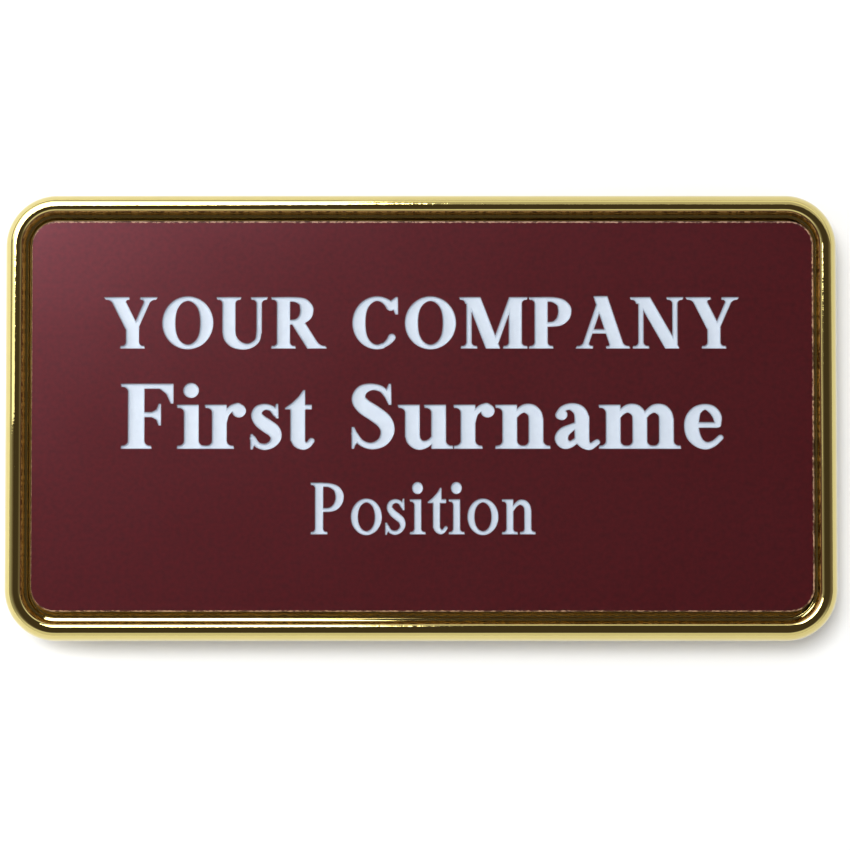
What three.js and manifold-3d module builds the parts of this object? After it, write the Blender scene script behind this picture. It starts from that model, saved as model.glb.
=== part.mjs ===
// A framed name badge: a polished gold rim and tray, a two-ply engraving plate glued into the tray,
// and a bar pin glued across the middle of the back.
// Millimetres. The badge lies face up: +X runs along its width, +Y points to its top edge and +Z out
// of its face. The origin is under its middle, on the surface that the pin's two feet rest on.
import * as THREE from "three";
import { mergeVertices } from "three/addons/utils/BufferGeometryUtils.js";
import Module from "manifold-3d";

const wasm = await Module();
wasm.setup();

// Engraving plate: a thin burgundy cap on a thick white core, in the common 3 by 1 1/2 inch size
const plateWidth = 76.2;
const plateHeight = 38.1;
const plateCornerRadius = 2.35;
const coreThickness = 1.35;
const capThickness = 0.25;

// Adhesive films, which are left as gaps
const plateFilm = 0.2;
const pinFilm = 0.2;

// Tray of the frame. The plate is glued down a little to the right and above the recess's middle.
const plateSideClearance = 0.24;
const plateEndClearance = 0.5;
const plateShiftRight = 0.17;
const plateShiftUp = 0.12;
const trayThickness = 0.7;
const backEdgeRadius = 0.3;

// Rim, from its outer edge inwards: a long outer flank up to the crown, a round shoulder that ends at
// a crisp edge, a steep inner wall and a narrow ledge that falls a little towards the plate
const rimWidth = 2.2;
const cornerRadius = 5;
const sideHeight = 1.6;
const flankWidth = 1.17;
const flankRise = 1.8;
const shoulderRadius = 0.57;
const shoulderTurn = THREE.MathUtils.degToRad(50);
const innerWallRun = 0.34;
const ledgeBelowPlate = 0.25;
const ledgeFall = 0.08;

// Bar pin: a strip, a hinge foot, a hooked catch foot and the wire between them
const stripLength = 32;
const stripWidth = 5.4;
const stripThickness = 0.7;
const stripCornerRadius = 1.6;
const stripMargin = 0.8;
const footHeight = 3.3;
const footWidth = 4.6;
const footEdgeRadius = 0.6;
const hingeLength = 4;
const catchLength = 3;
const catchWall = 0.7;
const catchLipHeight = 1.8;
const wireDiameter = 0.9;
const wireSink = 0.2;

// Smoothness of the facets: three.js makes twice as many steps on an arc
const cornerSteps = 5;
const sectionSteps = 3;
const wireSides = 12;

const footTop = footHeight + stripThickness / 2;
const frameBack = footHeight + stripThickness + pinFilm;
const plateBack = trayThickness + plateFilm;
const plateFace = plateBack + coreThickness + capThickness;
const frameWidth = plateWidth + 2 * (plateSideClearance + rimWidth);
const frameHeight = plateHeight + 2 * (plateEndClearance + rimWidth);

const gold = new THREE.MeshStandardMaterial({ color: 0xdcc878, metalness: 1, roughness: 0.1 });
const burgundy = new THREE.MeshStandardMaterial({ color: 0x5c1f28, metalness: 0, roughness: 0.5 });
const white = new THREE.MeshStandardMaterial({ color: 0xeef0f4, metalness: 0, roughness: 0.6 });
const nickel = new THREE.MeshStandardMaterial({ color: 0xc4c2bc, metalness: 1, roughness: 0.25 });

function namedMesh(name, geometry, material) {
  const mesh = new THREE.Mesh(geometry, material);
  mesh.name = name;
  return mesh;
}

function roundedRectangle(width, height, radius) {
  const x = width / 2 - radius;
  const y = height / 2 - radius;
  const quarter = Math.PI / 2;
  const outline = new THREE.Shape();
  outline.absarc(x, y, radius, 0, quarter);
  outline.absarc(-x, y, radius, quarter, 2 * quarter);
  outline.absarc(-x, -y, radius, 2 * quarter, 3 * quarter);
  outline.absarc(x, -y, radius, 3 * quarter, 4 * quarter);
  return outline;
}

function extruded(outline, depth) {
  return new THREE.ExtrudeGeometry(outline, { depth, bevelEnabled: false, curveSegments: cornerSteps });
}

// The frame's section as points of inset from the outer edge and height above its back, from the
// back's outer edge over the rim and down into the tray
function frameSection() {
  const up = Math.PI / 2;
  const ledge = plateFace - ledgeBelowPlate;
  const shoulderHeight = sideHeight + flankRise - shoulderRadius;
  const section = new THREE.Path();
  section.absarc(backEdgeRadius, backEdgeRadius, backEdgeRadius, 3 * up, 2 * up, true);
  section.absellipse(flankWidth, sideHeight, flankWidth, flankRise, 2 * up, up, true);
  section.absarc(flankWidth, shoulderHeight, shoulderRadius, up, up - shoulderTurn, true);
  section.lineTo(section.currentPoint.x + innerWallRun, ledge);
  section.lineTo(rimWidth, ledge - ledgeFall);
  section.lineTo(rimWidth, trayThickness);
  return section.getPoints(sectionSteps);
}

// One closed skin through a rounded rectangle for each point of the section, with a flat cap on
// the back and one on the tray's floor
function frameGeometry() {
  const positions = [];
  const triangles = [];
  const loops = frameSection().map(({ x: inset, y: height }) => {
    const outline = roundedRectangle(
      frameWidth - 2 * inset,
      frameHeight - 2 * inset,
      cornerRadius - inset,
    ).getPoints(cornerSteps);
    outline.forEach((point) => positions.push(point.x, point.y, height));
    return outline;
  });
  const count = loops[0].length;
  for (let row = 0; row < loops.length - 1; row++) {
    for (let i = 0; i < count; i++) {
      const low = row * count + i;
      const lowNext = row * count + ((i + 1) % count);
      triangles.push(low, lowNext, lowNext + count, low, lowNext + count, low + count);
    }
  }
  const floorStart = (loops.length - 1) * count;
  THREE.ShapeUtils.triangulateShape(loops[0], []).forEach(([a, b, c]) => triangles.push(a, c, b));
  THREE.ShapeUtils.triangulateShape(loops.at(-1), []).forEach((corners) => {
    triangles.push(...corners.map((corner) => floorStart + corner));
  });
  const geometry = new THREE.BufferGeometry();
  geometry.setAttribute("position", new THREE.Float32BufferAttribute(positions, 3));
  geometry.setIndex(triangles);
  return geometry;
}

function plateSheet(name, thickness, base, material) {
  const outline = roundedRectangle(plateWidth, plateHeight, plateCornerRadius);
  const sheet = namedMesh(name, extruded(outline, thickness), material);
  sheet.position.set(plateShiftRight, plateShiftUp, base);
  return sheet;
}

// The start of a foot's outline, drawn across the pin: down its left side, along its flat sole with
// rounded edges, and to the foot of its right side
function soleOutline() {
  const side = footWidth / 2;
  const edge = side - footEdgeRadius;
  const outline = new THREE.Shape();
  outline.moveTo(-side, footTop);
  outline.lineTo(-side, footEdgeRadius);
  outline.absarc(-edge, footEdgeRadius, footEdgeRadius, Math.PI, 1.5 * Math.PI);
  outline.absarc(edge, footEdgeRadius, footEdgeRadius, 1.5 * Math.PI, 2 * Math.PI);
  return outline;
}

function hingeOutline() {
  const outline = soleOutline();
  outline.lineTo(footWidth / 2, footTop);
  return outline;
}

// The catch is a J: a full wall, a floor under the wire and a short lip
function catchOutline() {
  const outer = footWidth / 2;
  const inner = outer - catchWall;
  const outline = soleOutline();
  outline.lineTo(outer, catchLipHeight);
  outline.lineTo(inner, catchLipHeight);
  outline.lineTo(inner, catchWall);
  outline.lineTo(-inner, catchWall);
  outline.lineTo(-inner, footTop);
  return outline;
}

// Turns an outline drawn across the pin into a block along X that starts at the given place
function blockAlong(outline, length, start) {
  const geometry = extruded(outline, length);
  geometry.rotateX(Math.PI / 2);
  geometry.rotateZ(Math.PI / 2);
  return geometry.translate(start, 0, 0);
}

function toSolid(geometry) {
  const bare = geometry.clone();
  bare.deleteAttribute("normal");
  bare.deleteAttribute("uv");
  const merged = mergeVertices(bare);
  return new wasm.Manifold(
    new wasm.Mesh({
      numProp: 3,
      vertProperties: new Float32Array(merged.attributes.position.array),
      triVerts: new Uint32Array(merged.index.array),
    }),
  );
}

function toGeometry(solid) {
  const mesh = solid.getMesh();
  const geometry = new THREE.BufferGeometry();
  geometry.setAttribute("position", new THREE.Float32BufferAttribute(mesh.vertProperties, 3));
  geometry.setIndex(new THREE.BufferAttribute(mesh.triVerts, 1));
  return geometry;
}

// The closed bar pin as one plain piece. Its feet run halfway up into the strip, and the wire lies on
// the catch's floor and ends inside the hinge.
function pinGeometry() {
  const reach = stripLength / 2 - stripMargin;
  const strip = extruded(roundedRectangle(stripLength, stripWidth, stripCornerRadius), stripThickness);
  strip.translate(0, 0, footHeight);
  const hinge = blockAlong(hingeOutline(), hingeLength, -reach);
  const hook = blockAlong(catchOutline(), catchLength, reach - catchLength);
  const wireRadius = wireDiameter / 2;
  const wireLength = 2 * reach - hingeLength / 2;
  const wire = new THREE.CylinderGeometry(wireRadius, wireRadius, wireLength, wireSides);
  wire.rotateZ(Math.PI / 2);
  wire.translate(reach - wireLength / 2, 0, catchWall - wireSink + wireRadius);
  const [whole, ...others] = [strip, hinge, hook, wire].map(toSolid);
  return toGeometry(others.reduce((joined, piece) => joined.add(piece), whole));
}

const frame = new THREE.Group();
frame.position.z = frameBack;
frame.add(
  namedMesh("frame", frameGeometry(), gold),
  plateSheet("plate_core", coreThickness, plateBack, white),
  plateSheet("plate_cap", capThickness, plateBack + coreThickness, burgundy),
);

const badge = new THREE.Group();
badge.add(frame, namedMesh("bar_pin", pinGeometry(), nickel));

export default badge;
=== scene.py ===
import math

import bmesh
import bpy
import numpy as np
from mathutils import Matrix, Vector
from mathutils.geometry import delaunay_2d_cdt


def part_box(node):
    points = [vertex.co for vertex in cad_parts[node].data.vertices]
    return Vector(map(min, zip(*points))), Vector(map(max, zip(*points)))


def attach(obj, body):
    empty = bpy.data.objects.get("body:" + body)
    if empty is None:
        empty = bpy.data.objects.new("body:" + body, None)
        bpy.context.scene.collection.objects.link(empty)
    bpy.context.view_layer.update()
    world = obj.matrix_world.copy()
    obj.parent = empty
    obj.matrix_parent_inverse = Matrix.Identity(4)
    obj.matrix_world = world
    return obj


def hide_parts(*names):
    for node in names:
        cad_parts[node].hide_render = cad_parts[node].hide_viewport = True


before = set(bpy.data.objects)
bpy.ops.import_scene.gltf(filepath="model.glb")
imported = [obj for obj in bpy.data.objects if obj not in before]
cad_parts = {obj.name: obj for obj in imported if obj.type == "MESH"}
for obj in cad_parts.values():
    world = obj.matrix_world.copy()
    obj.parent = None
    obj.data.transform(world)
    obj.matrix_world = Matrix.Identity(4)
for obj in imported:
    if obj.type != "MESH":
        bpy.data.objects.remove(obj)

MM = 0.001
QUARTER = math.pi / 2
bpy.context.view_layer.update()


def box_in_mm(name):
    low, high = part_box(name)
    return low / MM, high / MM


# Where the solids are
frame_low, frame_high = box_in_mm("frame")
core_low, core_high = box_in_mm("plate_core")
cap_low, cap_high = box_in_mm("plate_cap")
pin_low, pin_high = box_in_mm("bar_pin")

# Rim, from its outer edge inwards: a long outer flank up to the crown, a round shoulder that ends at
# a crisp edge, a steep inner wall and a narrow ledge that falls a little towards the plate
RIM_WIDTH = 2.2
CORNER_RADIUS = 5.0
BACK_EDGE_RADIUS = 0.3
SIDE_HEIGHT = 1.6
FLANK_WIDTH = 1.17
SHOULDER_RADIUS = 0.57
SHOULDER_TURN = math.radians(50)
INNER_WALL_RUN = 0.34
LEDGE_BELOW_PLATE = 0.25
LEDGE_FALL = 0.08
LEDGE_EDGE_RADIUS = 0.05
TRAY_THICKNESS = 0.7
TRAY_FILLET = 0.15

# Engraving plate. Its laser-cut edge has a knobbly chamfer, narrowest along the left. The knobs go
# in and out by an even and an uneven share of their height, and are lowest where it is narrowest.
PLATE_CORNER_RADIUS = 2.35
CHAMFER_DEPTH = 0.12
CHAMFER_WIDE = 0.15
CHAMFER_NARROW = 0.04
CHAMFER_WIDENING_AT_BOTTOM = 0.7
PULSE_SPACING = 0.28
KNOB_HEIGHT = 0.05
KNOB_EVEN = 0.6
KNOB_UNEVEN = 0.4
KNOB_LEAST = 0.3
KNOB_SEED = 7
CUT_SLOPE_IN_CAP = 0.05
CUT_SLOPE_IN_CORE = 0.1
CUT_DEPTH_IN_CORE = 0.2

# Lettering: words, height of the capitals, height of the baseline above the plate's middle, weight
LINES = (
    ("YOUR COMPANY", 4.98, 6.62, "bold"),
    ("First Surname", 6.3, -3.17, "bold"),
    ("Position", 4.98, -11.5, "regular"),
)

# The letters are sampled on a grid with a margin round it, and what has no letter near it counts as
# far outside. Outlines of fewer points than the shortest are specks, and are left out.
LETTER_GRID = 0.07
LETTER_MARGIN = 0.42
FAR_OUTSIDE = -1.0
OUTLINE_TOLERANCE = 0.004
SHORTEST_OUTLINE = 9
SAME_POINT = 1e-6

# Bar pin: a strip, a hinge foot, a hooked catch foot and the wire between them
STRIP_THICKNESS = 0.7
STRIP_CORNER_RADIUS = 1.6
STRIP_MARGIN = 0.8
FOOT_WIDTH = 4.6
FOOT_EDGE_RADIUS = 0.6
HINGE_LENGTH = 4.0
CATCH_LENGTH = 3.0
CATCH_WALL = 0.7
CATCH_LIP_HEIGHT = 1.8
WIRE_DIAMETER = 0.9
WIRE_SINK = 0.2
PIN_EDGE_BEVEL = 0.1

# Smoothness: the steps on each arc, and the angle in degrees above which an edge stays sharp
RIM_CORNER_STEPS = 28
FLANK_STEPS = 28
SHOULDER_STEPS = 24
BACK_EDGE_STEPS = 6
SMALL_ARC_STEPS = 4
PLATE_CORNER_STEPS = 12
BRACKET_STEPS = 6
STRIP_CORNER_STEPS = 10
FOOT_ARC_STEPS = 8
WIRE_SIDES = 32
RIM_SHARP_ABOVE = 35
PLATE_SHARP_ABOVE = 8
PIN_SHARP_ABOVE = 40
PIN_BEVEL_ABOVE = 50

# Photograph: its side and scale in pixels, where the badge's middle lies in it, and the camera's
# tilt towards the bottom edge and distance
IMAGE_SIDE = 850
PIXELS_PER_MM = 10.25
BADGE_MIDDLE_PIXEL = (421, 417.8)
CAMERA_TILT = math.radians(3.5)
CAMERA_DISTANCE = 450
SENSOR_WIDTH = 36


# Materials

def linear(code):
    """An sRGB hex colour as linear RGBA."""
    channels = [int(code[i:i + 2], 16) / 255 for i in (1, 3, 5)]
    return (*[c / 12.92 if c <= 0.04045 else ((c + 0.055) / 1.055) ** 2.4 for c in channels], 1)


def node(tree, kind, inputs=(), **settings):
    """Adds a node. Inputs are set by name, or by place, to a value or to another node's output."""
    made = tree.nodes.new(kind)
    for name, value in settings.items():
        setattr(made, name, value)
    for name, value in dict(inputs).items():
        if isinstance(value, bpy.types.NodeSocket):
            tree.links.new(value, made.inputs[name])
        else:
            made.inputs[name].default_value = value
    return made


def start_material(name):
    """A new node material with nothing in it but its output, and the place of each point in metres."""
    material = bpy.data.materials.new(name)
    material.use_nodes = True
    material.node_tree.nodes.clear()
    tree = material.node_tree
    place = node(tree, "ShaderNodeTexCoord").outputs["Object"]
    return material, tree, place


def finish_material(tree, shader):
    node(tree, "ShaderNodeOutputMaterial", {"Surface": shader.outputs["BSDF"]})


def per_mm(size):
    """The scale of a noise whose features are about this many millimetres wide."""
    return 1 / (size * MM)


def gold_plated_zinc():
    """Gold-plated zinc casting, buffed to a mirror: pale yellow, with sharp reflections that ripple
    slightly, faint buffing hairlines, a crown where the casting's grain still shows through and a
    satin back that was only tumbled."""
    material, tree, place = start_material("gold_plated_zinc")
    tint = node(tree, "ShaderNodeTexNoise", {"Vector": place, "Scale": per_mm(9), "Detail": 2})
    colour = node(tree, "ShaderNodeMix", {
        "Factor": tint.outputs["Fac"],
        "A": linear("#CBBB76"),
        "B": linear("#D2C380"),
    }, data_type="RGBA")
    height = node(tree, "ShaderNodeSeparateXYZ", {"Vector": place})
    back = node(tree, "ShaderNodeMapRange", {
        "Value": height.outputs["Z"],
        "From Min": (frame_low.z + 0.05) * MM,
        "From Max": (frame_low.z + 0.35) * MM,
        "To Min": 0.32,
        "To Max": 0.0,
    })
    hairlines = node(tree, "ShaderNodeTexNoise", {
        "Vector": place, "Scale": per_mm(0.25), "Detail": 3, "Roughness": 0.7,
    })
    buffed = node(tree, "ShaderNodeMapRange", {
        "Value": hairlines.outputs["Fac"], "From Min": 0.4, "From Max": 0.8,
        "To Min": 0.03, "To Max": 0.08,
    })
    rough = node(tree, "ShaderNodeMath", {
        0: buffed.outputs["Result"], 1: back.outputs["Result"],
    }, operation="ADD")
    ripple = node(tree, "ShaderNodeTexNoise", {"Vector": place, "Scale": per_mm(4), "Detail": 1})
    soft = node(tree, "ShaderNodeBump", {
        "Height": ripple.outputs["Fac"], "Distance": 0.006 * MM,
    })
    fine = node(tree, "ShaderNodeBump", {
        "Height": hairlines.outputs["Fac"], "Distance": 0.0006 * MM,
        "Normal": soft.outputs["Normal"],
    })
    crown = node(tree, "ShaderNodeMapRange", {
        "Value": height.outputs["Z"],
        "From Min": (frame_high.z - 0.14) * MM,
        "From Max": (frame_high.z - 0.02) * MM,
    })
    grain = node(tree, "ShaderNodeTexNoise", {
        "Vector": place, "Scale": per_mm(0.7), "Detail": 3, "Roughness": 0.6,
    })
    cast = node(tree, "ShaderNodeBump", {
        "Height": grain.outputs["Fac"], "Distance": 0.018 * MM, "Strength": crown.outputs["Result"],
        "Normal": fine.outputs["Normal"],
    })
    finish_material(tree, node(tree, "ShaderNodeBsdfPrincipled", {
        "Base Color": colour.outputs["Result"],
        "Metallic": 1.0,
        "Roughness": rough.outputs["Value"],
        "Normal": cast.outputs["Normal"],
    }))
    return material


def satin_burgundy_acrylic():
    """Cap of two-ply engraving acrylic, rolled to a satin face: dark wine red with a fine soft grain.
    Light goes a little way into the face, so its broad sheen is pinkish."""
    material, tree, place = start_material("satin_burgundy_acrylic")
    grain = node(tree, "ShaderNodeTexNoise", {
        "Vector": place, "Scale": per_mm(0.45), "Detail": 1, "Roughness": 0.5,
    })
    colour = node(tree, "ShaderNodeMix", {
        "Factor": grain.outputs["Fac"],
        "A": linear("#1E0709"),
        "B": linear("#4B1014"),
    }, data_type="RGBA")
    cloud = node(tree, "ShaderNodeTexNoise", {"Vector": place, "Scale": per_mm(7), "Detail": 3})
    rough = node(tree, "ShaderNodeMapRange", {
        "Value": cloud.outputs["Fac"], "From Min": 0.3, "From Max": 0.7,
        "To Min": 0.28, "To Max": 0.3,
    })
    bump = node(tree, "ShaderNodeBump", {
        "Height": grain.outputs["Fac"], "Distance": 0.002 * MM,
    })
    finish_material(tree, node(tree, "ShaderNodeBsdfPrincipled", {
        "Base Color": colour.outputs["Result"],
        "Roughness": rough.outputs["Result"],
        "IOR": 1.49,
        "Specular IOR Level": 1.0,
        "Specular Tint": (1, 0.42, 0.52, 1),
        "Normal": bump.outputs["Normal"],
    }))
    return material


def laser_cut_acrylic():
    """Edge of the plate as a laser leaves it: melted and scorched to a dull brown, with paler burrs
    where each pulse went through. Their paleness is partly a painted highlight, standing in for glints
    on the knobbly edge. The white core under the cap is only singed, to a light tan."""
    material, tree, place = start_material("laser_cut_acrylic")
    burrs = node(tree, "ShaderNodeTexNoise", {
        "Vector": place, "Scale": per_mm(0.5), "Detail": 3, "Roughness": 0.7,
    })
    burr_and_glint_mask = node(tree, "ShaderNodeMapRange", {
        "Value": burrs.outputs["Fac"], "From Min": 0.43, "From Max": 0.57,
    })
    # The pale burr colour is partly painted highlight, standing in for glints along the knobbly edge
    scorched = node(tree, "ShaderNodeMix", {
        "Factor": burr_and_glint_mask.outputs["Result"],
        "A": linear("#43231C"),
        "B": linear("#B4907A"),
    }, data_type="RGBA")
    singed = node(tree, "ShaderNodeMix", {
        "Factor": burr_and_glint_mask.outputs["Result"],
        "A": linear("#9A7048"),
        "B": linear("#BD976A"),
    }, data_type="RGBA")
    height = node(tree, "ShaderNodeSeparateXYZ", {"Vector": place})
    under_cap = node(tree, "ShaderNodeMapRange", {
        "Value": height.outputs["Z"], "From Min": cap_low.z * MM, "From Max": (cap_low.z - 0.15) * MM,
    })
    colour = node(tree, "ShaderNodeMix", {
        "Factor": under_cap.outputs["Result"],
        "A": scorched.outputs["Result"],
        "B": singed.outputs["Result"],
    }, data_type="RGBA")
    bump = node(tree, "ShaderNodeBump", {
        "Height": burrs.outputs["Fac"], "Distance": 0.05 * MM,
    })
    finish_material(tree, node(tree, "ShaderNodeBsdfPrincipled", {
        "Base Color": colour.outputs["Result"],
        "Roughness": 0.6,
        "IOR": 1.49,
        "Normal": bump.outputs["Normal"],
    }))
    return material


def engraved_white_acrylic():
    """White core of the plate, bared by a rotary cutter: a cool matt white with fine milling
    marks."""
    material, tree, place = start_material("engraved_white_acrylic")
    mottle = node(tree, "ShaderNodeTexNoise", {"Vector": place, "Scale": per_mm(0.6), "Detail": 3})
    colour = node(tree, "ShaderNodeMix", {
        "Factor": mottle.outputs["Fac"],
        "A": linear("#BCC6D3"),
        "B": linear("#C8D2DD"),
    }, data_type="RGBA")
    swirl = node(tree, "ShaderNodeTexNoise", {
        "Vector": place, "Scale": per_mm(0.18), "Detail": 2, "Roughness": 0.6,
    })
    bump = node(tree, "ShaderNodeBump", {
        "Height": swirl.outputs["Fac"], "Distance": 0.012 * MM,
    })
    finish_material(tree, node(tree, "ShaderNodeBsdfPrincipled", {
        "Base Color": colour.outputs["Result"],
        "Roughness": 0.6,
        "IOR": 1.49,
        "Normal": bump.outputs["Normal"],
    }))
    return material


def nickel_plated_steel():
    """Stamped steel, barrel-plated with nickel: a warm bright grey, lightly scuffed all over."""
    material, tree, place = start_material("nickel_plated_steel")
    scuffs = node(tree, "ShaderNodeTexNoise", {
        "Vector": place, "Scale": per_mm(0.4), "Detail": 4, "Roughness": 0.65,
    })
    colour = node(tree, "ShaderNodeMix", {
        "Factor": scuffs.outputs["Fac"],
        "A": linear("#BDB7AB"),
        "B": linear("#D2CDC2"),
    }, data_type="RGBA")
    rough = node(tree, "ShaderNodeMapRange", {
        "Value": scuffs.outputs["Fac"], "From Min": 0.35, "From Max": 0.7,
        "To Min": 0.2, "To Max": 0.28,
    })
    bump = node(tree, "ShaderNodeBump", {
        "Height": scuffs.outputs["Fac"], "Distance": 0.002 * MM,
    })
    finish_material(tree, node(tree, "ShaderNodeBsdfPrincipled", {
        "Base Color": colour.outputs["Result"],
        "Metallic": 1.0,
        "Roughness": rough.outputs["Result"],
        "Normal": bump.outputs["Normal"],
    }))
    return material


def matt_white_paper():
    """Studio sweep of matt white paper: nearly white, with a faint tooth."""
    material, tree, place = start_material("matt_white_paper")
    tooth = node(tree, "ShaderNodeTexNoise", {"Vector": place, "Scale": per_mm(0.8), "Detail": 3})
    bump = node(tree, "ShaderNodeBump", {"Height": tooth.outputs["Fac"], "Distance": 0.01 * MM})
    finish_material(tree, node(tree, "ShaderNodeBsdfPrincipled", {
        "Base Color": linear("#F6F6F6"),
        "Roughness": 0.9,
        "Specular IOR Level": 0.1,
        "Normal": bump.outputs["Normal"],
    }))
    return material


# Meshes

def mesh_object(name, vertices, faces, finishes, finish_of_face=None, sharp_above=30):
    """A mesh object from points in millimetres, shaded smooth up to an angle in degrees."""
    mesh = bpy.data.meshes.new(name)
    mesh.from_pydata([Vector(point) * MM for point in vertices], [], faces)
    for finish in finishes:
        mesh.materials.append(finish)
    if finish_of_face:
        mesh.polygons.foreach_set("material_index", finish_of_face)
    mesh.shade_smooth()
    mesh.set_sharp_from_angle(angle=math.radians(sharp_above))
    thing = bpy.data.objects.new(name, mesh)
    bpy.context.scene.collection.objects.link(thing)
    return thing


def join_frame(thing, solid):
    """Fixes a piece to the badge, in place of the solid that it stands for."""
    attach(thing, "root")
    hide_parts(solid)


def arc(centre, radii, start, turn, steps):
    """Points on an ellipse from one angle through a turn, both ends included."""
    angles = [start + turn * i / steps for i in range(steps + 1)]
    return [
        (centre[0] + radii[0] * math.cos(a), centre[1] + radii[1] * math.sin(a)) for a in angles
    ]


def rounded_rectangle(width, height, radius, corner_steps):
    """Points round a rectangle about the origin, anticlockwise from its right side."""
    x, y = width / 2 - radius, height / 2 - radius
    points = []
    for i, (side, end) in enumerate(((x, y), (-x, y), (-x, -y), (x, -y))):
        points += arc((side, end), (radius, radius), i * QUARTER, QUARTER, corner_steps)
    return points


def bridge(low, high, count):
    """Faces between two loops of as many vertices each, given the first vertex of each."""
    return [
        (low + i, low + (i + 1) % count, high + (i + 1) % count, high + i) for i in range(count)
    ]


# Gold rim and tray

def rim_section():
    """Insets from the outer edge and heights above the back, from the back's outer edge over the rim
    and down to the tray's floor."""
    crown = frame_high.z - frame_low.z
    ledge = cap_high.z - frame_low.z - LEDGE_BELOW_PLATE
    shoulder = arc((FLANK_WIDTH, crown - SHOULDER_RADIUS), (SHOULDER_RADIUS, SHOULDER_RADIUS),
                   QUARTER, -SHOULDER_TURN, SHOULDER_STEPS)
    wall_foot = shoulder[-1][0] + INNER_WALL_RUN
    ledge_end = (RIM_WIDTH - LEDGE_EDGE_RADIUS, ledge - LEDGE_FALL - LEDGE_EDGE_RADIUS)
    return [
        *arc((BACK_EDGE_RADIUS, BACK_EDGE_RADIUS), (BACK_EDGE_RADIUS, BACK_EDGE_RADIUS),
             3 * QUARTER, -QUARTER, BACK_EDGE_STEPS),
        *arc((FLANK_WIDTH, SIDE_HEIGHT), (FLANK_WIDTH, crown - SIDE_HEIGHT),
             2 * QUARTER, -QUARTER, FLANK_STEPS),
        *shoulder[1:],
        (wall_foot, ledge),
        *arc(ledge_end, (LEDGE_EDGE_RADIUS, LEDGE_EDGE_RADIUS), QUARTER, -QUARTER, SMALL_ARC_STEPS),
        *arc((RIM_WIDTH + TRAY_FILLET, TRAY_THICKNESS + TRAY_FILLET), (TRAY_FILLET, TRAY_FILLET),
             2 * QUARTER, QUARTER, SMALL_ARC_STEPS),
    ]


def make_rim(gold):
    """The rim and tray as one closed skin, through a rounded rectangle for each point of the section."""
    width, height = frame_high.x - frame_low.x, frame_high.y - frame_low.y
    count = 4 * (RIM_CORNER_STEPS + 1)
    vertices, faces = [], []
    for inset, level in rim_section():
        loop = rounded_rectangle(
            width - 2 * inset, height - 2 * inset, CORNER_RADIUS - inset, RIM_CORNER_STEPS)
        if vertices:
            faces += bridge(len(vertices) - count, len(vertices), count)
        vertices += [(x, y, frame_low.z + level) for x, y in loop]
    faces.append(tuple(reversed(range(count))))
    faces.append(tuple(range(len(vertices) - count, len(vertices))))
    rim = mesh_object("gilt_rim", vertices, faces, [gold], sharp_above=RIM_SHARP_ABOVE)
    join_frame(rim, "frame")


# Letters. A letter is a set of strokes in parts of the height of its capitals, with x from its left
# side and y from its baseline. A weight runs from 0, a hairline, to 1, a stem.
PENS = {
    # stem, small letter's stem, hairline, serif's thickness, reach and bracket, width
    "bold": dict(stem=0.235, small=0.21, hair=0.08, thin=0.042, reach=0.11, bracket=0.08, wide=1.04),
    "regular": dict(stem=0.165, small=0.14, hair=0.065, thin=0.038, reach=0.1, bracket=0.07, wide=0.9),
}

# Heights of the small letters and of the tallest letter
X_HEIGHT = 0.675
TALLEST = 1.02

# A serif's end leans in a little. A slanting stroke is cut level at its ends, where it measures a
# little wider than a stem. An oval is drawn with discs. It thins from its sides to its top and
# bottom, and again near an open end, from that angle in degrees on.
SERIF_LEAN = 0.01
SLANT_WIDENING = 1.08
OVAL_DISCS = 160
OVAL_CONTRAST = 1.6
OPEN_END_FROM = 285
OPEN_END_THINNING = 0.75

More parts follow.
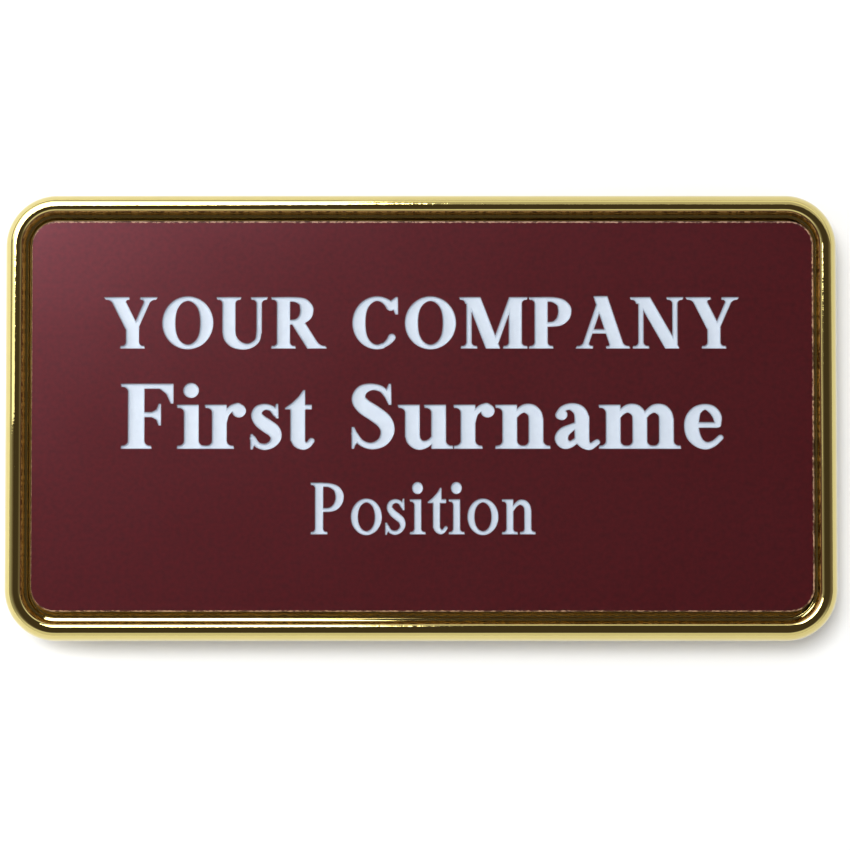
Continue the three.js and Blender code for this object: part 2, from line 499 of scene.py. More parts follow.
# Each letter has its step to the next one and its strokes. A stroke is one of these:
# ("stem", x, low, high, weight, foot, head), where foot and head name the sides with a serif
# ("serif", x, level, weight, sides, up, lean), a serif by itself, as in serif_corners
# ("slant", x, y, x, y, weight), from its lower end to its upper end
# ("brush", (x, y, weight), ...), a smooth line
# ("patch", (x, y), ...), a filled corner
# ("dot", x, y, radius)
# ("ring", x, y, x radius, y radius), an oval
# ("bow", x, y, x radius, y radius, start, end), the part of an oval between two angles in degrees
GLYPHS = {
    " ": (0.5, ()),
    "Y": (1.04, (
        ("stem", 0.53, 0, 0.46, 1, "lr", ""),
        ("slant", 0.53, 0.38, 0.23, 1, 1.0),
        ("slant", 0.585, 0.40, 0.84, 1, 0.1),
        ("serif", 0.23, 1, 1.05, "lr", -1, -0.48),
        ("serif", 0.84, 1, 0.1, "lr", -1, 0.43),
    )),
    "O": (1.06, (("ring", 0.53, 0.5, 0.475, 0.515),)),
    "U": (1.02, (
        ("stem", 0.25, 0.3, 1, 1, "", "lr"),
        ("stem", 0.82, 0.3, 1, 0.05, "", "lr"),
        ("brush", (0.25, 0.34, 1), (0.27, 0.22, 0.95), (0.34, 0.12, 0.75), (0.45, 0.055, 0.4),
         (0.58, 0.035, 0.15), (0.70, 0.075, 0.05), (0.79, 0.17, 0), (0.82, 0.34, 0.05)),
    )),
    "R": (1.02, (
        ("stem", 0.25, 0, 1, 1, "lr", "l"),
        ("brush", (0.27, 0.962, 0), (0.48, 0.955, 0.05), (0.62, 0.90, 0.5), (0.68, 0.80, 0.95),
         (0.69, 0.74, 1), (0.67, 0.65, 0.9), (0.60, 0.57, 0.5), (0.48, 0.52, 0.05),
         (0.27, 0.51, 0)),
        ("slant", 0.83, 0, 0.50, 0.54, 1.0),
        ("serif", 0.84, 0, 1.0, "r", 1, -0.61),
    )),
    "C": (0.97, (
        ("bow", 0.50, 0.5, 0.46, 0.515, 48, 318),
        ("patch", (0.72, 0.90), (0.85, 1.0), (0.885, 1.0), (0.89, 0.67), (0.845, 0.67), (0.80, 0.79)),
    )),
    "M": (1.30, (
        ("stem", 0.19, 0, 0.97, 0.05, "lr", ""),
        ("slant", 0.64, 0, 0.27, 1, 1.05),
        ("slant", 0.65, 0, 1.0, 1, 0.1),
        ("stem", 1.06, 0, 1, 1, "lr", ""),
        ("serif", 0.20, 1, 0.5, "l", -1, 0),
        ("serif", 1.06, 1, 1, "r", -1, 0),
    )),
    "P": (0.90, (
        ("stem", 0.25, 0, 1, 1, "lr", "l"),
        ("brush", (0.27, 0.962, 0), (0.47, 0.955, 0.05), (0.62, 0.89, 0.5), (0.685, 0.79, 0.95),
         (0.695, 0.72, 1), (0.675, 0.63, 0.9), (0.60, 0.53, 0.5), (0.47, 0.475, 0.05),
         (0.27, 0.47, 0)),
    )),
    "A": (1.03, (
        ("slant", 0.80, 0, 0.475, 1.02, 1.0),
        ("slant", 0.17, 0, 0.50, 1.0, 0.1),
        ("patch", (0.26, 0.295), (0.66, 0.295), (0.66, 0.37), (0.28, 0.37)),
        ("serif", 0.17, 0, 0.1, "lr", 1, 0.33),
        ("serif", 0.81, 0, 0.95, "lr", 1, -0.32),
    )),
    "N": (1.05, (
        ("stem", 0.21, 0, 0.97, 0.05, "lr", ""),
        ("slant", 0.80, 0, 0.25, 1, 1.05),
        ("stem", 0.85, 0.03, 1, 0.05, "", "lr"),
        ("serif", 0.20, 1, 0.5, "l", -1, 0),
    )),
    "F": (0.87, (
        ("stem", 0.25, 0, 1, 1, "lr", "l"),
        ("patch", (0.25, 0.93), (0.25, 1), (0.80, 1), (0.80, 0.70), (0.765, 0.70), (0.70, 0.85),
         (0.60, 0.93)),
        ("patch", (0.25, 0.49), (0.25, 0.56), (0.48, 0.56), (0.555, 0.60), (0.585, 0.69),
         (0.615, 0.69), (0.615, 0.36), (0.585, 0.36), (0.555, 0.45), (0.48, 0.49)),
    )),
    "S": (0.78, (
        ("brush", (0.62, 0.80, 0), (0.52, 0.92, 0.03), (0.37, 0.955, 0.1), (0.23, 0.90, 0.45),
         (0.18, 0.77, 0.75), (0.26, 0.65, 0.95), (0.42, 0.54, 1), (0.56, 0.42, 0.95),
         (0.61, 0.27, 0.75), (0.54, 0.11, 0.4), (0.38, 0.04, 0.1), (0.22, 0.09, 0.03),
         (0.115, 0.23, 0)),
        ("patch", (0.60, 0.93), (0.63, 1.0), (0.66, 1.0), (0.665, 0.68), (0.63, 0.68), (0.55, 0.85)),
        ("patch", (0.08, 0.33), (0.115, 0.33), (0.19, 0.15), (0.125, 0.05), (0.11, 0), (0.08, 0)),
    )),
    "i": (0.41, (
        ("stem", 0.205, 0, X_HEIGHT, 1, "lr", "l"),
        ("dot", 0.2, 0.90, 0.112),
    )),
    "r": (0.62, (
        ("stem", 0.205, 0, X_HEIGHT, 1, "lr", "l"),
        ("brush", (0.27, 0.40, 0), (0.31, 0.54, 0), (0.39, 0.62, 0.15), (0.475, 0.63, 0.5)),
        ("dot", 0.495, 0.585, 0.1),
    )),
    "s": (0.55, (
        ("brush", (0.42, 0.54, 0), (0.36, 0.62, 0), (0.26, 0.645, 0.05), (0.165, 0.60, 0.35),
         (0.14, 0.51, 0.6), (0.20, 0.42, 0.85), (0.30, 0.345, 0.95), (0.395, 0.27, 0.85),
         (0.425, 0.17, 0.55), (0.37, 0.07, 0.2), (0.26, 0.025, 0.05), (0.15, 0.06, 0),
         (0.08, 0.16, 0)),
        ("patch", (0.41, 0.63), (0.43, 0.69), (0.455, 0.69), (0.46, 0.47), (0.43, 0.47), (0.37, 0.59)),
        ("patch", (0.05, 0.22), (0.08, 0.22), (0.14, 0.10), (0.09, 0.035), (0.08, -0.01), (0.05, -0.01)),
    )),
    "t": (0.43, (
        ("stem", 0.205, 0.12, X_HEIGHT, 1, "", ""),
        ("patch", (0.02, 0.61), (0.02, 0.63), (0.12, 0.70), (0.22, 0.80), (0.285, 0.90),
         (0.31, 0.90), (0.31, 0.675), (0.41, 0.675), (0.41, 0.61)),
        ("brush", (0.205, 0.16, 1), (0.225, 0.095, 0.75), (0.29, 0.045, 0.3), (0.36, 0.06, 0.05),
         (0.41, 0.12, 0)),
    )),
    "u": (0.82, (
        ("stem", 0.20, 0.18, X_HEIGHT, 1, "", "l"),
        ("stem", 0.59, 0, X_HEIGHT, 1, "r", "l"),
        ("brush", (0.20, 0.21, 1), (0.22, 0.13, 0.9), (0.29, 0.065, 0.6), (0.38, 0.06, 0.25),
         (0.47, 0.11, 0), (0.55, 0.20, 0)),
    )),
    "n": (0.82, (
        ("stem", 0.205, 0, X_HEIGHT, 1, "lr", "l"),
        ("stem", 0.595, 0, 0.47, 1, "lr", ""),
        ("brush", (0.25, 0.47, 0), (0.33, 0.565, 0.05), (0.42, 0.62, 0.3), (0.52, 0.60, 0.7),
         (0.58, 0.53, 0.9), (0.595, 0.44, 1)),
    )),
    "m": (1.22, (
        ("stem", 0.205, 0, X_HEIGHT, 1, "lr", "l"),
        ("stem", 0.60, 0, 0.47, 1, "lr", ""),
        ("stem", 0.995, 0, 0.47, 1, "lr", ""),
        ("brush", (0.25, 0.47, 0), (0.33, 0.565, 0.05), (0.42, 0.62, 0.3), (0.525, 0.60, 0.7),
         (0.585, 0.53, 0.9), (0.60, 0.44, 1)),
        ("brush", (0.645, 0.47, 0), (0.725, 0.565, 0.05), (0.815, 0.62, 0.3), (0.92, 0.60, 0.7),
         (0.98, 0.53, 0.9), (0.995, 0.44, 1)),
    )),
    "a": (0.72, (
        ("stem", 0.455, 0.12, 0.50, 1, "", ""),
        ("brush", (0.13, 0.52, 0.4), (0.17, 0.61, 0.1), (0.27, 0.65, 0.1), (0.37, 0.62, 0.5),
         (0.43, 0.56, 0.8), (0.455, 0.47, 1)),
        ("dot", 0.155, 0.525, 0.08),
        ("brush", (0.43, 0.39, 0), (0.30, 0.325, 0.2), (0.19, 0.25, 0.6), (0.15, 0.16, 0.85),
         (0.19, 0.08, 0.6), (0.28, 0.065, 0.15), (0.38, 0.13, 0)),
        ("brush", (0.46, 0.14, 0.95), (0.50, 0.07, 0.5), (0.58, 0.035, 0.15), (0.68, 0.10, 0)),
    )),
    "e": (0.66, (
        ("brush", (0.16, 0.365, 0), (0.52, 0.365, 0)),
        ("brush", (0.545, 0.37, 0), (0.53, 0.50, 0.35), (0.46, 0.60, 0.3), (0.35, 0.645, 0.02),
         (0.23, 0.59, 0.4), (0.165, 0.47, 0.9), (0.15, 0.33, 1), (0.18, 0.20, 0.9),
         (0.26, 0.09, 0.5), (0.37, 0.045, 0.2), (0.48, 0.08, 0.05), (0.58, 0.17, 0)),
    )),
    "o": (0.74, (("ring", 0.37, 0.337, 0.33, 0.352),)),
}


def smooth_line(points, steps=14):
    """A Catmull-Rom line through points with a weight each."""
    points = np.array(points, float)
    padded = np.vstack([2 * points[0] - points[1], points, 2 * points[-1] - points[-2]])
    line = []
    for a, b, c, d in zip(padded, padded[1:], padded[2:], padded[3:]):
        for t in np.arange(steps) / steps:
            line.append(0.5 * (2 * b + (c - a) * t + (2 * a - 5 * b + 4 * c - d) * t ** 2
                               + (3 * b - a - 3 * c + d) * t ** 3))
    return np.array([*line, points[-1]])


def polygon_distance(corners, x, y):
    """Signed distance to a polygon, above 0 inside it."""
    nearest = np.full(x.shape, np.inf)
    inside = np.zeros(x.shape, bool)
    for (ax, ay), (bx, by) in zip(corners, corners[1:] + corners[:1]):
        ex, ey = bx - ax, by - ay
        length = ex * ex + ey * ey
        if length == 0:
            continue
        t = np.clip(((x - ax) * ex + (y - ay) * ey) / length, 0, 1)
        nearest = np.minimum(nearest, np.hypot(x - ax - t * ex, y - ay - t * ey))
        if ey:
            inside ^= ((ay > y) != (by > y)) & (x < ax + ex * (y - ay) / ey)
    return np.where(inside, nearest, -nearest)


def disc_distance(discs, x, y):
    """Signed distance to the union of discs (x, y, radius), above 0 inside it."""
    nearest = np.full(x.shape, -np.inf)
    for cx, cy, radius in discs:
        nearest = np.maximum(nearest, radius - np.hypot(x - cx, y - cy))
    return nearest


def serif_corners(pen, x, y, width, sides, up, lean=0):
    """A bracketed serif on a stroke of that width, at its foot (up 1) or its head (up -1). Lean is how
    far the stroke goes to the right while it rises by one."""
    thin, size = pen["thin"], pen["bracket"]
    halves = []
    for sign, side in ((-1, "l"), (1, "r")):
        edge = width / 2
        if side in sides:
            tip = edge + pen["reach"]
            bracket = arc(
                (edge + size, thin + size), (size, size), 2 * QUARTER, QUARTER, BRACKET_STEPS)
            half = [(tip, 0), (tip - SERIF_LEAN, thin), *reversed(bracket)]
        else:
            half = [(edge, 0), (edge, thin + size)]
        halves.append([(x + sign * off + lean * up * rise, y + up * rise) for off, rise in half])
    left, right = halves
    return left + right[::-1]


def letter_field(letter, pen, x, y):
    """Signed distance to a letter, above 0 inside it, in parts of the capitals' height."""
    small = letter.islower()
    stem = pen["small"] if small else pen["stem"]

    def width(weight):
        return pen["hair"] + weight * (stem - pen["hair"])

    def oval(cx, cy, rx, ry, start=0, end=360):
        """Discs (x, y, radius) along an oval or a part of it."""
        discs = []
        for angle in np.radians(np.linspace(start, end, OVAL_DISCS)):
            reach = width(abs(math.cos(angle)) ** OVAL_CONTRAST) / 2
            full = end - start >= 360 or angle < math.radians(OPEN_END_FROM)
            discs.append((cx + (rx - reach) * math.cos(angle), cy + (ry - reach) * math.sin(angle),
                          reach * (1 if full else OPEN_END_THINNING)))
        return discs

    field = np.full(x.shape, -np.inf)
    for kind, *values in GLYPHS[letter][1]:
        parts = []
        if kind == "stem":
            at, low, high, weight, foot, head = values
            w = width(weight)
            parts.append(polygon_distance(
                [(at - w / 2, low), (at + w / 2, low), (at + w / 2, high), (at - w / 2, high)], x, y))
            if foot:
                parts.append(polygon_distance(serif_corners(pen, at, low, w, foot, 1), x, y))
            if head:
                parts.append(polygon_distance(serif_corners(pen, at, high, w, head, -1), x, y))
        elif kind == "serif":
            at, level, weight, sides, up, lean = values
            parts.append(polygon_distance(
                serif_corners(pen, at, level, width(weight), sides, up, lean), x, y))
        elif kind == "slant":
            x0, y0, x1, y1, weight = values
            w = width(weight) * SLANT_WIDENING
            parts.append(polygon_distance(
                [(x0 - w / 2, y0), (x0 + w / 2, y0), (x1 + w / 2, y1), (x1 - w / 2, y1)], x, y))
        elif kind == "patch":
            parts.append(polygon_distance(list(values), x, y))
        elif kind == "brush":
            parts.append(disc_distance(
                [(px, py, width(max(f, 0)) / 2) for px, py, f in smooth_line(values)], x, y))
        elif kind == "dot":
            parts.append(disc_distance([tuple(values)], x, y))
        elif kind in ("ring", "bow"):
            parts.append(disc_distance(oval(*values), x, y))
        for part in parts:
            field = np.maximum(field, part)
    return field


# Case of a grid cell, from its corners that are inside (1 lower left, 2 lower right, 4 upper right,
# 8 upper left), to the sides that the outline enters and leaves it by, with the inside on its left
BOTTOM, RIGHT, TOP, LEFT = range(4)
CELL_CROSSINGS = {
    1: ((BOTTOM, LEFT),), 2: ((RIGHT, BOTTOM),), 3: ((RIGHT, LEFT),), 4: ((TOP, RIGHT),),
    5: ((BOTTOM, LEFT), (TOP, RIGHT)), 6: ((TOP, BOTTOM),), 7: ((TOP, LEFT),), 8: ((LEFT, TOP),),
    9: ((BOTTOM, TOP),), 10: ((RIGHT, BOTTOM), (LEFT, TOP)), 11: ((RIGHT, TOP),),
    12: ((LEFT, RIGHT),), 13: ((BOTTOM, RIGHT),), 14: ((LEFT, BOTTOM),),
}


def outlines(field, xs, ys, level):
    """Closed outlines of a sampled field at a level, each an array of points."""
    above = field > level
    case = above[:-1, :-1] + 2 * above[:-1, 1:] + 4 * above[1:, 1:] + 8 * above[1:, :-1]
    following = {}
    for row, column in zip(*np.nonzero((case > 0) & (case < 15))):
        sides = {BOTTOM: ("h", row, column), TOP: ("h", row + 1, column),
                 LEFT: ("v", row, column), RIGHT: ("v", row, column + 1)}
        for enter, leave in CELL_CROSSINGS[int(case[row, column])]:
            following[sides[enter]] = sides[leave]

    def crossing(side):
        kind, row, column = side
        near = field[row, column]
        far = field[row, column + 1] if kind == "h" else field[row + 1, column]
        share = (level - near) / (far - near)
        if kind == "h":
            return xs[column] + share * (xs[column + 1] - xs[column]), ys[row]
        return xs[column], ys[row] + share * (ys[row + 1] - ys[row])

    loops = []
    while following:
        start = side = next(iter(following))
        loop = []
        while side in following:
            loop.append(crossing(side))
            side = following.pop(side)
        loops.append(np.array(loop))
    return loops


def simplified(loop, tolerance):
    """A closed outline with the points left out that lie within a tolerance of their neighbours'
    line."""
    far = int(np.argmax(np.hypot(*(loop - loop[0]).T)))
    closed = np.vstack([loop, loop[:1]])
    keep = {0, far, len(loop)}
    spans = [(0, far), (far, len(loop))]
    while spans:
        first, last = spans.pop()
        if last - first < 2:
            continue
        a, b = closed[first], closed[last]
        along = b - a
        length = np.hypot(*along) or 1e-9
        between = closed[first + 1:last] - a
        off = np.abs(between[:, 0] * along[1] - between[:, 1] * along[0]) / length
        worst = int(np.argmax(off))
        if off[worst] > tolerance:
            middle = first + 1 + worst
            keep.add(middle)
            spans += [(first, middle), (middle, last)]
    return closed[sorted(keep - {len(loop)})]


def letter_samples(letter, height, pen):
    """A letter's field in millimetres, on a grid that starts at the margins left of it and below it."""
    columns = round((GLYPHS[letter][0] * pen["wide"] * height + 2 * LETTER_MARGIN) / LETTER_GRID)
    rows = round((TALLEST * height + 2 * LETTER_MARGIN) / LETTER_GRID)
    x = (np.arange(columns) * LETTER_GRID - LETTER_MARGIN) / height / pen["wide"]
    y = (np.arange(rows) * LETTER_GRID - LETTER_MARGIN) / height
    return letter_field(letter, pen, *np.meshgrid(x, y)) * height


def lettering():
    """The cuts' outlines at the cap's face, at the core and on the floor, as (level, points) placed
    on the plate. The letters of a line share one grid, so that none of their outlines cross."""
    placed, made = [], {}
    for words, height, baseline, weight in LINES:
        pen = PENS[weight]
        rows = len(letter_samples(" ", height, pen))
        advances = [GLYPHS[letter][0] * pen["wide"] * height for letter in words]
        columns = round((sum(advances) + 2 * LETTER_MARGIN) / LETTER_GRID) + 2
        field = np.full((rows, columns), FAR_OUTSIDE)
        pen_at = 0
        for letter, advance in zip(words, advances):
            key = (letter, height, weight)
            if letter != " " and key not in made:
                made[key] = letter_samples(letter, height, pen)
            if letter != " ":
                first = round(pen_at / LETTER_GRID)
                window = field[:, first:first + made[key].shape[1]]
                np.maximum(window, made[key][:, :window.shape[1]], out=window)
            pen_at += advance
        xs = np.arange(columns) * LETTER_GRID - LETTER_MARGIN - pen_at / 2
        ys = np.arange(rows) * LETTER_GRID - LETTER_MARGIN + baseline
        for level, reach in enumerate((-CUT_SLOPE_IN_CAP, 0, CUT_SLOPE_IN_CORE)):
            placed += [(level, simplified(loop, OUTLINE_TOLERANCE))
                       for loop in outlines(field, xs, ys, reach) if len(loop) >= SHORTEST_OUTLINE]
    return placed


# Engraved plate

CAP_FACE, CORE_FACE, CUT_FLOOR, CUT_EDGE = range(4)


def ragged_inset(points, random):
    """The chamfer's inner outline: the plate's outline moved in, in and out with each pulse."""
    count = len(points)
    moved = []
    for i, (x, y) in enumerate(points):
        before, after = points[i - 1], points[(i + 1) % count]
        along = np.subtract(after, before)
        inward = np.array((-along[1], along[0])) / np.hypot(*along)
        right, top, bottom = max(-inward[0], 0), max(-inward[1], 0), max(inward[1], 0)
        widening = right + top + CHAMFER_WIDENING_AT_BOTTOM * bottom
        inset = CHAMFER_NARROW + (CHAMFER_WIDE - CHAMFER_NARROW) * min(widening, 1)
        knob = (-KNOB_EVEN if i % 2 else KNOB_EVEN) + random.uniform(-KNOB_UNEVEN, KNOB_UNEVEN)
        inset += KNOB_HEIGHT * knob * min(1, KNOB_LEAST + widening)
        moved.append((x + inward[0] * inset, y + inward[1] * inset))
    return moved


def cut_outline(width, height):
    """The plate's outline with two points for each pulse of the laser."""
    coarse = rounded_rectangle(width, height, PLATE_CORNER_RADIUS, PLATE_CORNER_STEPS)
    points = []
    for (ax, ay), (bx, by) in zip(coarse, coarse[1:] + coarse[:1]):
        pieces = max(1, round(math.hypot(bx - ax, by - ay) / PULSE_SPACING))
        points += [(ax + (bx - ax) * i / pieces, ay + (by - ay) * i / pieces) for i in range(pieces)]
    return points


def make_plate(burgundy, scorched, white):
    """Divides the plate's face along all outlines once, and raises the cap and the core from it."""
    random = np.random.default_rng(KNOB_SEED)
    middle = (cap_low + cap_high) / 2
    edge = cut_outline(cap_high.x - cap_low.x, cap_high.y - cap_low.y)
    loops = [(CUT_EDGE, edge), (CAP_FACE, ragged_inset(edge, random)), *lettering()]
    points, edges, kinds, cuts = [], [], [], []
    for kind, loop in loops:
        first, count = len(points), len(loop)
        points += [Vector((float(x), float(y))) for x, y in loop]
        kinds += [kind] * count
        edges += [(first + i, first + (i + 1) % count) for i in range(count)]
        if kind == CORE_FACE:
            turn = sum(loop[i - 1][0] * loop[i][1] - loop[i][0] * loop[i - 1][1] for i in range(count))
            cut = range(first, first + count)
            cuts.append(list(cut if turn > 0 else reversed(cut)))
    flat, _, triangles, sources, _, cut_of = delaunay_2d_cdt(points, edges, cuts, 0, SAME_POINT)
    kind_of = [kinds[source[0]] for source in sources]
    in_cut = [len(cut) % 2 == 1 for cut in cut_of]
    at = [(point.x + middle.x, point.y + middle.y) for point in flat]
    total = len(at)
    rim = [next(i for i, source in enumerate(sources) if n in source) for n in range(len(edge))]

    # Cap: its face and the upper slopes of the cuts over a flat underside that shares their edges
    upper = {CAP_FACE: cap_high.z, CORE_FACE: cap_low.z, CUT_FLOOR: cap_low.z,
             CUT_EDGE: cap_high.z - CHAMFER_DEPTH}
    vertices = [(*at[i], upper[kind_of[i]]) for i in range(total)]
    vertices += [(*at[i], cap_low.z) for i in range(total)]
    below = [i if kind_of[i] == CORE_FACE else i + total for i in range(total)]
    faces, finish = [], []
    for triangle, cut in zip(triangles, in_cut):
        if cut:
            continue
        chamfer = any(kind_of[i] == CUT_EDGE for i in triangle)
        faces += [tuple(triangle), tuple(below[i] for i in reversed(triangle))]
        finish += [1 if chamfer else 0, 0]
    for i, j in zip(rim, rim[1:] + rim[:1]):
        faces.append((i, below[i], below[j], j))
        finish.append(1)
    cap = mesh_object("engraved_cap", vertices, faces, [burgundy, scorched], finish,
                      sharp_above=PLATE_SHARP_ABOVE)
    tidy(cap)
    join_frame(cap, "plate_cap")

    # Core: flat under the cap, with the cuts' lower slopes and floors sunk into it
    sunk = {CAP_FACE: core_high.z, CORE_FACE: core_high.z, CUT_EDGE: core_high.z,
            CUT_FLOOR: core_high.z - CUT_DEPTH_IN_CORE}
    vertices = [(*at[i], sunk[kind_of[i]]) for i in range(total)]
    faces = [tuple(triangle) for triangle in triangles]
    bottom = len(vertices)
    vertices += [(*at[i], core_low.z) for i in rim]
    count = len(rim)
    finish = [0] * len(faces) + [1] * count + [0]
    for n in range(count):
        after = (n + 1) % count
        faces.append((rim[n], bottom + n, bottom + after, rim[after]))
    faces.append(tuple(bottom + n for n in reversed(range(count))))
    core = mesh_object("white_core_ply", vertices, faces, [white, scorched], finish,
                       sharp_above=PLATE_SHARP_ABOVE)
    tidy(core)
    join_frame(core, "plate_core")


def tidy(thing):
    """Drops points that no face uses, and turns every face outwards."""
    shape = bmesh.new()
    shape.from_mesh(thing.data)
    bmesh.ops.delete(
        shape, geom=[point for point in shape.verts if not point.link_faces], context="VERTS")
    bmesh.ops.recalc_face_normals(shape, faces=shape.faces)
    shape.to_mesh(thing.data)
    shape.free()


# Bar pin

def block(name, outline, place, steel):
    """A closed block from an outline in the plane across its length. place turns a point of the
    outline and an end (0 or 1) into a position."""
    count = len(outline)
    vertices = [place(point, end) for end in (0, 1) for point in outline]
    faces = bridge(0, count, count) + [tuple(reversed(range(count))), tuple(range(count, 2 * count))]
    made = mesh_object(name, vertices, faces, [steel])
    tidy(made)
    return made


def sole_outline(foot_top):
    """The start of a foot's outline, across the pin: down its left side, and along its flat sole with
    rounded edges to the foot of its right side."""
    side = FOOT_WIDTH / 2
    edge = side - FOOT_EDGE_RADIUS
    radii = (FOOT_EDGE_RADIUS, FOOT_EDGE_RADIUS)
    return [
        (-side, foot_top),
        *arc((-edge, FOOT_EDGE_RADIUS), radii, 2 * QUARTER, QUARTER, FOOT_ARC_STEPS),
        *arc((edge, FOOT_EDGE_RADIUS), radii, 3 * QUARTER, QUARTER, FOOT_ARC_STEPS),
    ]


def catch_outline(foot_top):
    """The catch is a J: a full wall, a floor under the wire and a short lip."""
    outer = FOOT_WIDTH / 2
    inner = outer - CATCH_WALL
    lip = CATCH_WALL / 2
    return [
        *sole_outline(foot_top),
        *arc((outer - lip, CATCH_LIP_HEIGHT - lip), (lip, lip), 0, 2 * QUARTER, FOOT_ARC_STEPS),
        (inner, CATCH_WALL),
        (-inner, CATCH_WALL),
        (-inner, foot_top),
    ]


def make_pin(steel):
    """The closed bar pin in one piece, with its edges rounded by tumbling."""
    length, width = pin_high.x - pin_low.x, pin_high.y - pin_low.y
    strip_base = pin_high.z - STRIP_THICKNESS
    foot_top = strip_base + STRIP_THICKNESS / 2
    reach = length / 2 - STRIP_MARGIN
    radius = WIRE_DIAMETER / 2
    wire_level = CATCH_WALL - WIRE_SINK + radius

    def along(start, end):
        return lambda point, side: (end if side else start, point[0], point[1])

    strip = block("pin_strip", rounded_rectangle(length, width, STRIP_CORNER_RADIUS, STRIP_CORNER_STEPS),
                  lambda point, side: (*point, pin_high.z if side else strip_base), steel)
    hinge = block("pin_hinge", [*sole_outline(foot_top), (FOOT_WIDTH / 2, foot_top)],
                  along(-reach, HINGE_LENGTH - reach), steel)
    catch = block("pin_catch", catch_outline(foot_top), along(reach - CATCH_LENGTH, reach), steel)
    wire = block("pin_wire", arc((0, wire_level), (radius, radius), 0, 4 * QUARTER, WIRE_SIDES)[:-1],
                 along(HINGE_LENGTH / 2 - reach, reach), steel)
    for other in (hinge, catch, wire):
        union = strip.modifiers.new(other.name, "BOOLEAN")
        union.object = other
        union.operation = "UNION"
        union.solver = "EXACT"
    rounding = strip.modifiers.new("tumbled_edges", "BEVEL")
    rounding.width = PIN_EDGE_BEVEL * MM
    rounding.segments = 3
    rounding.limit_method = "ANGLE"
    rounding.angle_limit = math.radians(PIN_BEVEL_ABOVE)
    shaped = bpy.data.meshes.new_from_object(
        strip.evaluated_get(bpy.context.evaluated_depsgraph_get()))
    for part in (strip, hinge, catch, wire):
        bpy.data.objects.remove(part)
    pin = bpy.data.objects.new("nickel_bar_pin", shaped)
    bpy.context.scene.collection.objects.link(pin)
    shaped.shade_smooth()
    shaped.set_sharp_from_angle(angle=math.radians(PIN_SHARP_ABOVE))
    join_frame(pin, "bar_pin")


# Studio

def make_floor(paper):
    """A wide flat sheet of paper."""
    reach, steps = 700, 24
    spots = [-reach + 2 * reach * i / steps for i in range(steps + 1)]
    vertices = [(x, y, 0) for y in spots for x in spots]
    row = steps + 1
    faces = [(r * row + c, r * row + c + 1, (r + 1) * row + c + 1, (r + 1) * row + c)
             for r in range(steps) for c in range(steps)]
    mesh_object("paper_floor", vertices, faces, [paper])


def make_camera():
    """A long lens nearly straight above the badge, leaning a little towards its bottom edge."""
    back = Vector((0, -math.sin(CAMERA_TILT), math.cos(CAMERA_TILT)))
    middle = IMAGE_SIDE / 2
    aim = Vector((
        (middle - BADGE_MIDDLE_PIXEL[0]) / PIXELS_PER_MM,
        (BADGE_MIDDLE_PIXEL[1] - middle) / PIXELS_PER_MM / math.cos(CAMERA_TILT),
        frame_low.z + SIDE_HEIGHT,
    ))
    data = bpy.data.cameras.new("camera")
    data.sensor_width = SENSOR_WIDTH
    data.lens = SENSOR_WIDTH * CAMERA_DISTANCE * PIXELS_PER_MM / IMAGE_SIDE
    data.clip_start = 0.05
    data.clip_end = 10
    camera = bpy.data.objects.new("camera", data)
    camera.location = (aim + back * CAMERA_DISTANCE) * MM
    camera.rotation_mode = "QUATERNION"
    camera.rotation_quaternion = (-back).to_track_quat("-Z", "Y")
    bpy.context.scene.collection.objects.link(camera)
    bpy.context.scene.camera = camera


# Brightness of the room on each side of the table: the axis towards it, its sign, the strength, the
# slopes (as the height of a direction) between which it fades out upwards, and how it does so
ROOM_SIDES = (
    ("Y", 1, 0.6, 0.35, 0.5, "SMOOTHSTEP"),
    ("Y", -1, 0.95, 0.42, 0.58, "SMOOTHSTEP"),
    ("X", 1, 0.33, 0.0, 0.97, "LINEAR"),
    ("X", -1, 0.52, 0.2, 1.0, "LINEAR"),
)
ROOM_CEILING = 0.075
CEILING_TINT = (1, 0.78, 0.6)

# The brightness from which the light is plain white, and how far along its axis a direction has to
# point for a side's full strength
WHITE_FROM = 0.4
FULL_SIDE = 0.8


def make_room():
    """The room round the table, as the rim mirrors it: bright low down on all sides, dimmest to the
    east, and dark and warm overhead."""
    world = bpy.data.worlds.new("room")
    bpy.context.scene.world = world
    world.use_nodes = True
    tree = world.node_tree
    tree.nodes.clear()
    way = node(tree, "ShaderNodeTexCoord").outputs["Generated"]
    parts = node(tree, "ShaderNodeSeparateXYZ", {"Vector": way})
    level = ROOM_CEILING
    for axis, sign, strength, low, high, fade in ROOM_SIDES:
        side = node(tree, "ShaderNodeMapRange", {
            "Value": parts.outputs[axis], "From Min": 0.0, "From Max": FULL_SIDE * sign,
            "To Min": 0.0, "To Max": strength,
        }, interpolation_type="SMOOTHSTEP")
        below = node(tree, "ShaderNodeMapRange", {
            "Value": parts.outputs["Z"], "From Min": high, "From Max": low,
        }, interpolation_type=fade)
        wall = node(tree, "ShaderNodeMath", {
            0: side.outputs["Result"], 1: below.outputs["Result"],
        }, operation="MULTIPLY")
        level = node(tree, "ShaderNodeMath", {0: level, 1: wall.outputs["Value"]},
                     operation="MAXIMUM").outputs["Value"]
    pale = node(tree, "ShaderNodeMapRange", {
        "Value": level, "From Min": ROOM_CEILING, "From Max": WHITE_FROM,
    })
    colour = node(tree, "ShaderNodeMix", {
        "Factor": pale.outputs["Result"], "A": (*CEILING_TINT, 1), "B": (1, 1, 1, 1),
    }, data_type="RGBA")
    background = node(tree, "ShaderNodeBackground", {
        "Color": colour.outputs["Result"], "Strength": level,
    })
    node(tree, "ShaderNodeOutputWorld", {"Surface": background.outputs["Background"]})


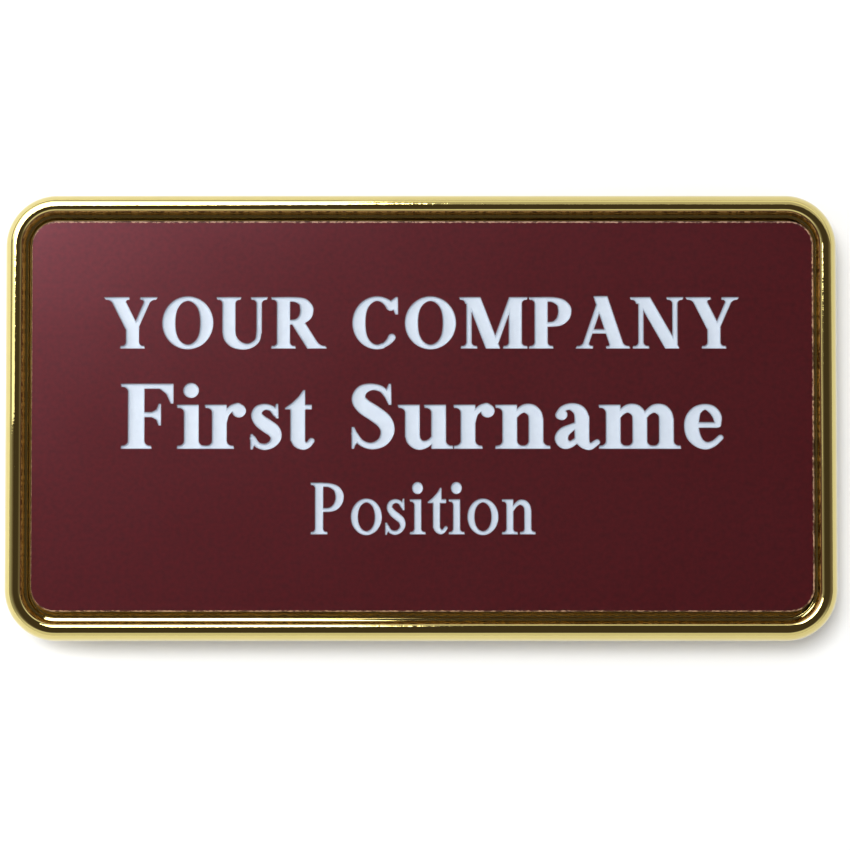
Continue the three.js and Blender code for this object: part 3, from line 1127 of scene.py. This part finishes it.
def softbox(name, middle, size, radiance, shape="RECTANGLE", tint=(1, 1, 1),
            aim=(0, 0, 0), mirrored=False, lights_up=True, throws_shadow=True):
    """A soft light of even brightness. It can be one that only shows in reflections, or one that
    only lights things up."""
    width, height = size
    data = bpy.data.lights.new(name, "AREA")
    data.shape = shape
    data.size = width * MM
    data.size_y = height * MM
    data.color = tint
    share = math.pi / 4 if shape == "ELLIPSE" else 1
    data.energy = radiance * math.pi * share * width * height * MM * MM
    data.use_shadow = throws_shadow
    light = bpy.data.objects.new(name, data)
    light.location = Vector(middle) * MM
    light.rotation_mode = "QUATERNION"
    light.rotation_quaternion = (Vector(aim) - Vector(middle)).to_track_quat("-Z", "Y")
    light.visible_glossy = mirrored
    light.visible_diffuse = lights_up
    bpy.context.scene.collection.objects.link(light)


def make_lights():
    """A key light from high above and a little to the upper left, which throws the soft shadow down
    and to the right, an even overhead fill and a weak fill near the left side."""
    key_way = Vector((-0.14, 0.16, 1)).normalized()
    key_distance = 2600
    softbox("key", middle=key_way * key_distance, size=(800, 800), radiance=21)
    softbox("overhead", middle=(0, 0, 1500), size=(3000, 3000), radiance=0.58, tint=(0.91, 0.96, 1),
            throws_shadow=False)
    softbox("left_fill", middle=(-150, 20, 110), size=(90, 90), radiance=4.4, aim=(-40, 0, 0),
            throws_shadow=False)


def make_panels():
    """What stands near the badge and only shows in the rim and in the plate's sheen: two high white
    panels at the upper left, a low white card to the left and a low grey one along the top."""
    for name, x0, x1, y0, y1, height, radiance, shape in (
        ("north_panel", -560, -10, 125, 560, 165, 3.4, "RECTANGLE"),
        ("north_west_panel", -223, -1, 30, 252, 150, 8.5, "ELLIPSE"),
        ("west_card", -80, -50, 1.5, 60, 28, 1.9, "RECTANGLE"),
        ("north_card", -10, 400, 36, 300, 34, 0.6, "RECTANGLE"),
    ):
        middle = ((x0 + x1) / 2, (y0 + y1) / 2, height)
        softbox(name, middle, (x1 - x0, y1 - y0), radiance, shape,
                aim=(middle[0], middle[1], 0), mirrored=True, lights_up=False)


gold = gold_plated_zinc()
burgundy = satin_burgundy_acrylic()
scorched = laser_cut_acrylic()
white = engraved_white_acrylic()
steel = nickel_plated_steel()

make_rim(gold)
make_plate(burgundy, scorched, white)
make_pin(steel)
make_floor(matt_white_paper())
make_camera()
make_room()
make_lights()
make_panels()
bpy.context.scene.view_settings.view_transform = "Standard"
